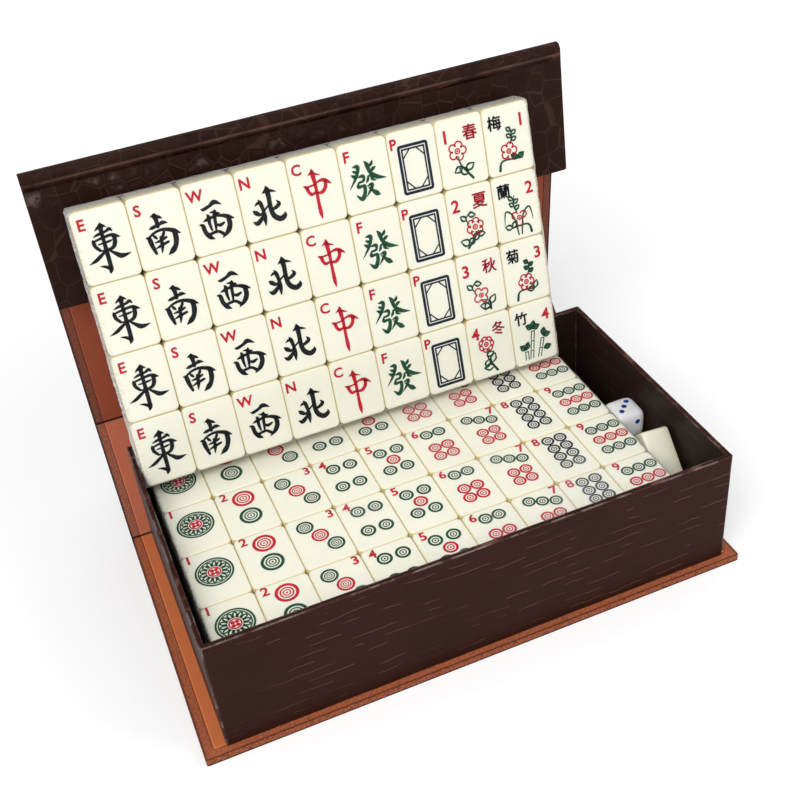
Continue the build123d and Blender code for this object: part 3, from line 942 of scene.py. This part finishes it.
def season(row):
    marks = Marks()
    marks.sign(str(row + 1), -7.0, 7.4, 5.8, "red")
    marks.sign("春夏秋冬"[row], 4.6, 7.5, 6.4, "red", bold=0.0)
    flip = (-1, 1, 1, -1)[row]
    head = ((-2.2, 0.6), (0.8, -3.6), (-1.2, -5.0), (-2.4, 1.4))[row]
    foot = ((3.4, -12.2), (-3.6, -12.2), (2.6, -12.4), (1.4, -12.4))[row]
    bend = ((head[0] + foot[0]) / 2 + flip * 1.8, (head[1] + foot[1]) / 2)
    marks.stroke([(*foot, 1.2), (*bend, 0.8), (head[0], head[1] - 2.2, 0.5)], "green")
    for i, angle in enumerate((2.5, 0.5, 3.6, -0.3)[:3 + row % 2]):
        part = 0.35 + 0.28 * i
        at = [start + (end - start) * part for start, end in zip(foot, bend)]
        leaf(marks, *at, angle + 0.2 * row, 5.2 - 0.4 * i)
    if row in (1, 2):
        marks.stroke([(head[0] - 2.6, head[1] + 1.8, 0.4), (head[0] - 3.8, head[1] + 4.4, 0.7),
                      (head[0] - 1.2, head[1] + 7.4, 0.4)], "green")
        leaf(marks, head[0] - 3.6, head[1] + 3.6, 2.4, 3.6)
        leaf(marks, head[0] - 2.6, head[1] + 6.0, -0.2, 3.6)
    blossom(marks, *head, (4.0, 3.9, 3.7, 3.6)[row], (5, 6, 4, 7)[row], 0.3 * row)
    return marks


def canes(marks):
    """Jointed canes with filled leaves. Each cane is given by its foot, tilt and joints."""
    for x, tilt, joints in ((-2.6, 0.16, 3), (1.4, 0.30, 2), (-5.0, 0.05, 1)):
        for joint in range(joints):
            low, high = -12.3 + joint * 4.6, -8.4 + joint * 4.6
            top = x + tilt * (high + 12.4)
            for side in (-0.75, 0.75):
                foot = x + side + tilt * (low + 12.3)
                marks.stroke([(foot, low, 0.5), (top + side, high, 0.5)], "green")
            marks.stroke([(top - 0.8, high, 0.5), (top + 0.8, high, 0.5)], "green")
    for x, y, angles in ((-0.6, 2.0, (0.3, 1.3, 2.5)), (4.2, -2.6, (0.1, 1.3)),
                         (-5.0, -7.4, (2.4, 1.2)), (4.0, -9.0, (0.2,))):
        for angle in angles:
            leaf(marks, x, y, angle, 3.9, True)


def flower(row):
    marks = Marks()
    marks.sign("梅蘭菊竹"[row], -5.6, 8.2, 6.2, "black", bold=0.0)
    marks.sign(str(row + 1), 6.8, 7.4, 5.6, "red")
    lean = (1, -1, 1, -1)[row]
    if row == 3:
        canes(marks)
        return marks
    marks.stroke([(lean * -5.6, -12.6, 1.3), (lean * -4.0, -8.8, 0.9), (lean * 3.4, -9.0, 0.6)],
                 "green")
    marks.stroke([(lean * 0.6, -2.0, 0.7), (lean * 1.8, 1.4, 0.6), (lean * 0.8, 5.4, 0.4)],
                 "green")
    for i in range(4):
        leaf(marks, lean * (1.4 + 0.1 * i), -0.8 + 1.4 * i, 0.5 + (i % 2) * 2.0, 2.8, row == 2)
    for angle in (0.6, 2.5):
        leaf(marks, lean * 3.4, -9.0, angle + 0.3 * row, 3.8, row == 0)
    if row == 1:
        for side in (-1, 1):
            marks.stroke([(side * 0.8, -12.6, 0.7), (side * 2.4, -4.0, 0.8),
                          (side * 5.8, -1.2, 0.8), (side * 7.0, -7.0, 0.3)], "green")
    blossom(marks, lean * -0.4, -5.0, 3.7, (5, 3, 6)[row], 0.5 * row)
    return marks


# %% [markdown]
# ### Circles
# The suit of circles repeats one figure: a heavy ring, a thin ring and a dot. Its positions are
# the traditional ones, so only a table of places and inks is needed. Copies of one pattern come
# from the same tree as the tiles. The first tile has a single large wheel of petals.

# %% Circle tiles
CIRCLES = {
    2: (9.7, [(0.5, 7.8, "red"), (0.5, -3.8, "green")]),
    3: (7.3, [(-3.8, 8.5, "green"), (0.5, 1.6, "red"), (4.9, -5.5, "green")]),
    4: (6.5, [(x, y, "green") for x in (-3.1, 4.7) for y in (7.2, -5.1)]),
    5: (6.3, [(x, y, "green") for x in (-3.3, 4.6) for y in (7.2, -5.1)] + [(0.6, 1.0, "red")]),
    6: (6.0, [(x, y, colour) for x in (-2.3, 3.7)
              for y, colour in ((9.2, "green"), (-0.5, "red"), (-6.5, "red"))]),
    7: (5.6, [(-4.3, 9.9, "green"), (0.8, 7.8, "green"), (6.0, 5.7, "green")]
        + [(x, y, "red") for x in (-1.6, 4.1) for y in (-1.2, -6.9)]),
    8: (5.75, [(x, y, "navy") for x in (-1.4, 4.6) for y in (10.2, 4.5, -1.1, -6.7)]),
    9: (5.5, [(x, y, colour) for x in (-3.5, 2.0, 7.5)
              for y, colour in ((7.6, "green"), (0.5, "red"), (-6.6, "green"))]),
}
NUMERALS = {1: (-8.1, 12.2), 2: (-7.2, 12.0), 3: (8.1, 11.8), 4: (-6.7, 11.6), 5: (-7.0, 11.5),
            6: (-7.0, 11.7), 7: (8.1, 11.7), 8: (-6.5, 11.8), 9: (-6.2, 12.0)}


def paint(name, pack, drawn):
    """Settle one mesh of all the painted shapes, each tile's marks moved to its spot."""
    inks = sorted({ink_name for _, marks in drawn for ink_name in marks.inks})
    verts, faces, slots = [], [], []
    for (x0, y0, z0), marks in drawn:
        base = len(verts)
        verts += [(x0 + x, y0 + y, z0 + PAINT_Z) for x, y in marks.verts]
        faces += [[base + i for i in face] for face in marks.faces]
        slots += [inks.index(ink_name) for ink_name in marks.inks]
    obj = build(name, verts, faces, [INKS[ink_name] for ink_name in inks], smooth=False)
    obj.data.polygons.foreach_set("material_index", slots)
    settle(obj, PACKS[pack], f"{pack}_pack", "tile")


def circle_pattern(name, rings, dot):
    """Pattern one unit wide: rings from outer to inner radius, and a dot."""
    circle = Marks()
    for outer, inner, count in rings:
        circle.ring(0, 0, outer, inner, "green", count)
    circle.disc(0, 0, dot, "green", 8)
    return build(name, [(x, y, 0) for x, y in circle.verts], circle.faces, smooth=False)


small_circle = circle_pattern("small_circle", [(0.5, 0.335, 20), (0.245, 0.165, 14)], 0.075)
large_circle = circle_pattern("large_circle", [(0.5, 0.365, 28), (0.30, 0.235, 20),
                                               (0.175, 0.12, 14)], 0.05)
WHEEL_Y = 1.6
PETAL = ((3.5, 0.16), (4.9, 0.15), (5.65, 0.08))    # out from the hub, and radians to each side


def wheel():
    marks = Marks()
    for outer, inner, ink_name, count in ((7.9, 7.05, "green", 44), (6.7, 6.1, "green", 36),
                                          (3.5, 3.1, "green", 24), (2.75, 2.1, "red", 24)):
        marks.ring(0, WHEEL_Y, outer, inner, ink_name, count)
    for i in range(14):
        angle = 2 * math.pi * i / 14
        around = [(out, -bend) for out, bend in PETAL] + list(PETAL[::-1])
        marks.stroke([(out * math.cos(angle + bend), out * math.sin(angle + bend) + WHEEL_Y, 0.7)
                      for out, bend in around], "green", 2)
    for i in range(4):
        angle = math.pi * (0.25 + 0.5 * i)
        marks.disc(1.2 * math.cos(angle), 1.2 * math.sin(angle) + WHEEL_Y, 0.86, "red", 12)
    return marks


for col in range(COLS):
    number = col + 1
    marks = wheel() if number == 1 else Marks()
    marks.sign(str(number), *NUMERALS[number], 4.8, "red")
    spots = [spot(col, row, 0) for row in range(ROWS)]
    paint(f"dot_{number}_numerals", "dots", [(at, marks) for at in spots])
    width, places = CIRCLES.get(number, (0, []))
    pattern = large_circle if number < 4 else small_circle
    for ink_name in sorted({colour for _, _, colour in places}):
        at = [(sx + x, sy + y, PAINT_Z) for sx, sy, _ in spots
              for x, y, colour in places if colour == ink_name]
        piece = copies(f"dot_{number}_{ink_name}_circles", pattern, at, INKS[ink_name], width)
        settle(piece, PACKS["dots"], "dots_pack", "tile")

DRAW = (wind("east", "E"), wind("south", "S"), wind("west", "W"), wind("north", "N"),
        wind("centre", "C", "red"), wind("fortune", "F", "green"), framed, season, flower)
for col, draw in enumerate(DRAW):
    drawn = [(spot(col, row, 0), draw(row)) for row in range(ROWS)]
    paint(f"{HONOURS[col]}_marks", "honours", drawn)

# %% Characters and bamboo, seen when a pack is lifted out
def in_rows(xs, ys):
    return [(x, y) for x in xs for y in ys]


STICKS = {1: [(0, 0)], 2: in_rows([0], [6, -6]), 3: [(0, 6), (-4, -6), (4, -6)],
          4: in_rows([-4, 4], [6, -6]), 5: in_rows([-6, 6], [6, -6]) + [(0, 0)],
          6: in_rows([-6, 0, 6], [6, -6]), 7: [(0, 9.5)] + in_rows([-6, 0, 6], [1, -8]),
          8: in_rows([-7.2, -2.4, 2.4, 7.2], [6, -6]), 9: in_rows([-6, 0, 6], [9, 0, -9])}
for col in range(COLS):
    number = col + 1
    written, sticks = Marks(), Marks()
    height = 1.6 if number == 1 else 6.8
    written.sign("一二三四五六七八九"[col], 0, 6.6, height, "black", bold=0.03)
    written.sign("萬", 0, -5.4, 11.0, "red", bold=0.02)
    length = 7.0 if number in (7, 9) else 9.6
    for pack, marks in (("character", written), ("bamboo", sticks)):
        marks.sign(str(number), -8.0, 11.4, 4.0, "red")
    for x, y in STICKS[number]:
        for end in (-1, 1):
            sticks.stroke([(x, y + 0.3 * end, 1.1), (x, y + end * length * 0.25, 2.2),
                           (x, y + end * length * 0.47, 1.6)],
                          "red" if x == 0 and number % 2 else "green", 3)
    for pack, marks in (("character", written), ("bamboo", sticks)):
        paint(f"{pack}_{number}_marks", pack, [(spot(col, row, 0), marks) for row in range(ROWS)])
for pattern in (tile_pattern, small_circle, large_circle):
    bpy.data.objects.remove(pattern)
print("marks drawn")

# %% [markdown]
# ## Shrink film
# Film is one closed skin drawn tight over a pack. It is flat over the tiles and gathers at the
# ends, where the sheet was cut and shrunk. A box with lines close together near its edges is
# rounded, then its ends are pushed about by noise, and how loose each point is goes to an
# attribute that tells the finish where to wrinkle and where to paint the film whiter, as painted
# sheen.


# %% Film skins
INSETS = (0.0, 0.35, 0.8, 1.4, 2.4)     # the close lines near an edge
FILM_R = 1.3


def film_skin(name, matrix, node, body, looseness, finish):
    width, depth, height = PACK_W + 2 * SKIN, PACK_D + 2 * SKIN, TILE_H + 2 * SKIN

    def stations(size, step):
        near = [size / 2 - inset for inset in INSETS]
        wide = 2 * near[-1]
        count = max(2, round(wide / step))
        inner = [wide * i / count - near[-1] for i in range(1, count)]
        return sorted([-v for v in near] + inner + near)

    xs, ys, zs = stations(width, 3.0), stations(depth, 3.0), stations(height, 2.0)
    index, verts, faces = {}, [], []

    def vert(x, y, z):
        key = (round(x, 4), round(y, 4), round(z, 4))
        if key not in index:
            index[key] = len(verts)
            verts.append(key)
        return index[key]

    def sheet_of(us, vs, corner):
        for u0, u1 in zip(us, us[1:]):
            for v0, v1 in zip(vs, vs[1:]):
                around = ((u0, v0), (u1, v0), (u1, v1), (u0, v1))
                faces.append([vert(*corner(u, v)) for u, v in around])

    for sign in (1, -1):
        sheet_of(xs[::sign], ys, lambda u, v: (u, v, sign * height / 2))
        sheet_of(xs[::-sign], zs, lambda u, v: (u, sign * depth / 2, v))
        sheet_of(ys[::sign], zs, lambda u, v: (sign * width / 2, u, v))
    half = np.array((width, depth, height)) / 2
    hard = half - FILM_R
    loose, placed = [], []
    for point in verts:
        p = np.array(point)
        core = np.clip(p, -hard, hard)
        away = p - core
        if np.linalg.norm(away) > 1e-6:
            p = core + away / np.linalg.norm(away) * min(FILM_R, np.abs(away).max())
        reach = half[:2] - np.abs(p[:2])
        end = max(0.0, 1 - reach[0] / 2.6)
        rim = max(0.0, 1 - reach[1] / 1.8)
        wave = noise.noise(Vector((p[0] * 0.9 + 7, p[1] * 0.45 + 3, p[2] * 0.5 + looseness)))
        fine = noise.noise(Vector(p) * 1.7)
        if reach[0] < FILM_R + 0.2:
            bulge = 0.55 + 0.9 * wave + 0.35 * fine
            p[0] += np.sign(p[0]) * looseness * bulge * (1 - abs(p[2]) / half[2] * 0.5)
        if reach[1] < FILM_R and p[1] > 0:
            p[1] += looseness * 0.35 * max(0.0, wave + 0.2)
        loose.append(min(1.0, end + 0.45 * rim))
        placed.append(p + (PACK_W / 2, -PACK_D / 2, -TILE_H / 2))
    skin = build(name, placed, faces, [finish], loose=loose)
    return settle(skin, matrix, body, "film", node)


for pack, looseness, finish in (("character", 0.5, film_glare), ("bamboo", 0.5, film_glare),
                                ("dots", 0.6, film_glare), ("honours", 0.85, film_clear)):
    film_skin(f"{pack}_film_skin", PACKS[pack], f"{pack}_film", f"{pack}_pack", looseness, finish)
print("films made")

# %% [markdown]
# ## Folds
# At each fold the leatherette runs on from panel to panel with no board in it, so each fold is a
# thin curved sheet laid round it, between its two panels. The fold at the table turns about one
# line twice, so it has two sheets.


# %% Fold sheets
SHEET_IN, SHEET_LOW, SHEET_SHUT = 2.97, 3.03, 0.5    # inner radius, a tail's tip, and the shut ends


def fold_sheet(name, fold, start, stop, tail_a, tail_b, body_a, body_b, skin, bead=0.0,
               blend_tail=False):
    """Sheet through directions start to stop about a fold. Its tails thin out on the panels."""
    outer = 3.2 if stop > start else 3.05
    lip = outer - SHEET_LOW

    def at(radius, angle, run=0.0):
        c, s = math.cos(math.radians(angle)), math.sin(math.radians(angle))
        return (fold[1] + radius * c - run * s, fold[2] + radius * s + run * c)

    def closed(inner):
        return ([at(r, a, run) for a, run, r in path]
                + [at(inner, a, run) for a, run, _ in path[::-1]])

    steps = 12 if stop > start else 0
    path = [(start, -tail_a * part, outer - lip * part) for part in (1.0, 0.5) if tail_a]
    path += [(start + (stop - start) * i / max(steps, 1), 0.0, outer + (bead if i == 8 else 0.0))
             for i in range(steps + 1)]
    path += [(stop, tail_b * part, outer - lip * part) for part in (0.25, 0.6, 1.0)]
    loop, shut = closed(SHEET_IN), closed(SHEET_SHUT)
    near = [-PANEL_W / 2, 0.7 - PANEL_W / 2, 0.8 - PANEL_W / 2]
    inside = [-PANEL_W / 2 + PANEL_W * i / 40 for i in range(1, 40)]
    across = near + inside + [-x for x in near[::-1]]
    count, columns = len(loop), len(across) - 1
    verts, faces = [], []
    for i, x in enumerate(across):
        for j, (y, z) in enumerate(shut if i in (0, 1, columns - 1, columns) else loop):
            sway = 0.06 * noise.noise(Vector((x * 0.08, j * 0.3, 2.0))) if j < count / 2 else 0.0
            verts.append((x, y + sway, max(z + sway, -0.02)))
    for i in range(columns):
        for j in range(count):
            a, b = i * count + j, i * count + (j + 1) % count
            faces.append([a, a + count, b + count, b])
    for base in (0, columns * count):
        for j in range(len(path) - 1):
            quad = [base + j, base + j + 1, base + count - 2 - j, base + count - 1 - j]
            faces.append(quad if base == 0 else quad[::-1])
    obj = build(name, verts, faces, [skin])
    first = at(outer, stop if blend_tail else start)
    last = at(outer, stop, tail_b if blend_tail else 0.0)
    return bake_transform(obj, body_a, body_b, tuple(v * MM for v in (0.0, *first)),
                    tuple(v * MM for v in (0.0, *last)))


OUT = {panel: elev - 90 for panel, elev in ELEV.items()}
fold_sheet("fold_base", FOLD_1, -90.0, OUT["spine"], 3.0, 0.4, "case_base", "hinge_strip",
           cover_leather)
fold_sheet("fold_spine", FOLD_1, OUT["spine"], OUT["spine"], 0.0, 4.2, "hinge_strip", "spine",
           panel_leather["spine_wrap"], blend_tail=True)
fold_sheet("fold_lid", FOLD_2, OUT["spine"], OUT["lid"], 3.0, 3.0, "spine", "lid",
           panel_leather["lid_wrap"])
fold_sheet("fold_flap", FOLD_3, OUT["lid"], OUT["flap"], 3.0, 4.0, "lid", "flap",
           panel_leather["flap_wrap"], bead=0.32)

# %% [markdown]
# ## The die
# A moulded die is a cube with very soft corners. The cube's grid is pushed out to a rounded
# solid by one formula, which keeps the faces flat in the middle. Each pip is a spot of paint, so
# it is a thin disc, a little domed, that lies on the face and follows its curve.

# %% Die and pips
DIE_S, PIP_R, PIP_STEP, SOFTNESS = 14.6, 1.25, 2.75, 5.0
low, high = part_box("die")
die_at = (low + high) / 2


def softened(direction):
    d = np.array(direction, float)
    return d / (np.abs(d) ** SOFTNESS).sum() ** (1 / SOFTNESS) * DIE_S / 2


def die_body():
    count = 18
    grid = [math.tan(math.radians(45) * (2 * i / count - 1)) for i in range(count + 1)]
    index, verts, faces = {}, [], []
    for axis in range(3):
        for sign in (1, -1):
            for i in range(count):
                for j in range(count):
                    quad = []
                    for u, v in ((i, j), (i + 1, j), (i + 1, j + 1), (i, j + 1)):
                        point = [0.0, 0.0, 0.0]
                        point[axis], point[axis - 2], point[axis - 1] = sign, grid[u], grid[v]
                        key = tuple(round(c, 6) for c in point)
                        if key not in index:
                            index[key] = len(verts)
                            verts.append(softened(point))
                        quad.append(index[key])
                    faces.append(quad if sign > 0 else quad[::-1])
    return build("die_body", verts, faces, [die_white])


def die_pips():
    a = PIP_STEP
    middle, rising, falling = [(0, 0)], [(a, a), (-a, -a)], [(a, -a), (-a, a)]
    places = {1: middle, 2: rising, 3: rising + middle, 4: rising + falling,
              5: rising + falling + middle, 6: rising + falling + [(a, 0), (-a, 0)]}
    sides = {3: ((0, 0, 1), (1, 0, 0)), 4: ((0, 0, -1), (1, 0, 0)), 2: ((0, -1, 0), (1, 0, 0)),
             5: ((0, 1, 0), (-1, 0, 0)), 1: ((1, 0, 0), (0, 1, 0)), 6: ((-1, 0, 0), (0, -1, 0))}
    dome = ((PIP_R, 0.02), (0.8 * PIP_R, 0.07), (0.4 * PIP_R, 0.05), (0.0, 0.04))
    verts, faces, around = [], [], 14
    for number, (normal, across) in sides.items():
        n, u = Vector(normal), Vector(across)
        v = n.cross(u)
        for px, py in places[number]:
            base = len(verts)
            for radius, lift in dome:
                ring = around if radius else 1
                for k in range(ring):
                    angle = 2 * math.pi * k / ring
                    x, y = px + radius * math.cos(angle), py + radius * math.sin(angle)
                    point = softened(n * DIE_S / 2 + u * x + v * y)
                    verts.append(Vector(point) + n * lift)
            for level in range(2):
                for k in range(around):
                    here = base + level * around + k
                    after = base + level * around + (k + 1) % around
                    faces.append([here, after, after + around, here + around])
            tip = base + 3 * around
            faces += [[tip - around + k, tip - around + (k + 1) % around, tip]
                      for k in range(around)]
    return build("die_pips", verts, faces, [INKS["blue"]])


settle(die_body(), Matrix.Translation(die_at), "die", "die_plastic", "die")
settle(die_pips(), Matrix.Translation(die_at), "die", "die_plastic")
print("die made")

# %% [markdown]
# ## Floor, light and camera
# The case stands in a white studio. The floor takes a soft shadow, and a little glow that only
# the camera sees lifts the rest of it to white. A key lamp at the front left, a weaker fill lamp
# at the right and an even sky light the object so that a colour comes out about as it is written.


# %% Studio
SKY, FLOOR_GLOW, FAR_GLOW, LAMP_WATTS, FILL_WATTS = 0.60, 0.17, 0.28, 12.0, 3.6
FLOOR_REACH, FLOOR_Z = 4000, -0.2       # millimetres
WHITE = (1.0, 1.0, 1.0)


def studio_floor():
    finish = Finish("studio_floor")
    shown = finish.add("ShaderNodeLightPath").out("Is Camera Ray")
    place = finish.place()
    spread = finish.add("ShaderNodeVectorMath", {"operation": "LENGTH"}, {0: place}).out("Value")
    cloth = finish.blend(finish.noise(place, 3.0), (0.84,) * 3, (0.86,) * 3)
    matte = finish.add("ShaderNodeBsdfDiffuse", None, {"Color": cloth})
    strength = shown * (FLOOR_GLOW + finish.ease(spread, 0.2, 0.8) * FAR_GLOW)
    glow = finish.add("ShaderNodeEmission", None, {"Color": WHITE, "Strength": strength})
    return finish.show(finish.add("ShaderNodeAddShader", None, {0: matte, 1: glow}))


around = ((-1, -1), (1, -1), (1, 1), (-1, 1))
corners = [(x * FLOOR_REACH, y * FLOOR_REACH, FLOOR_Z) for x, y in around]
floor = build("floor", corners, [[0, 1, 2, 3]], [studio_floor()], smooth=False)

world = bpy.data.worlds.new("studio")
world.use_nodes = True
bpy.context.scene.world = world
sky = Finish("studio", world.node_tree)
shown = sky.add("ShaderNodeLightPath").out("Is Camera Ray")
backdrop = sky.add("ShaderNodeBackground", None,
                   {"Color": WHITE, "Strength": SKY + shown * (1 - SKY)})
sky.show(backdrop, "World")


def softbox(name, at, target, size, watts):
    lamp = bpy.data.lights.new(name, "AREA")
    lamp.energy, lamp.size = watts, size
    obj = link(name, lamp)
    obj.location = at
    obj.rotation_euler = (Vector(target) - Vector(at)).to_track_quat("-Z", "Y").to_euler()


softbox("key_lamp", (-0.55, -0.75, 1.05), (0, 0, 0.05), 0.9, LAMP_WATTS)
softbox("fill_lamp", (0.9, -0.5, 0.7), (0, 0, 0.08), 0.7, FILL_WATTS)

# %% Camera
CAMERA_AT = (-122.612, -352.315, 371.733)    # millimetres
CAMERA_TURN = (52.388, 4.942, -22.477)       # degrees about x, y and z
camera = link("camera", bpy.data.cameras.new("camera"))
camera.data.sensor_width, camera.data.lens = 36.0, 52.56
camera.data.clip_start, camera.data.clip_end = 0.01, 20.0
turn = Euler([math.radians(angle) for angle in CAMERA_TURN])
camera.matrix_world = Matrix.LocRotScale(Vector(CAMERA_AT) * MM, turn, None)
bpy.context.scene.camera = camera
bpy.context.scene.view_settings.view_transform = "Standard"
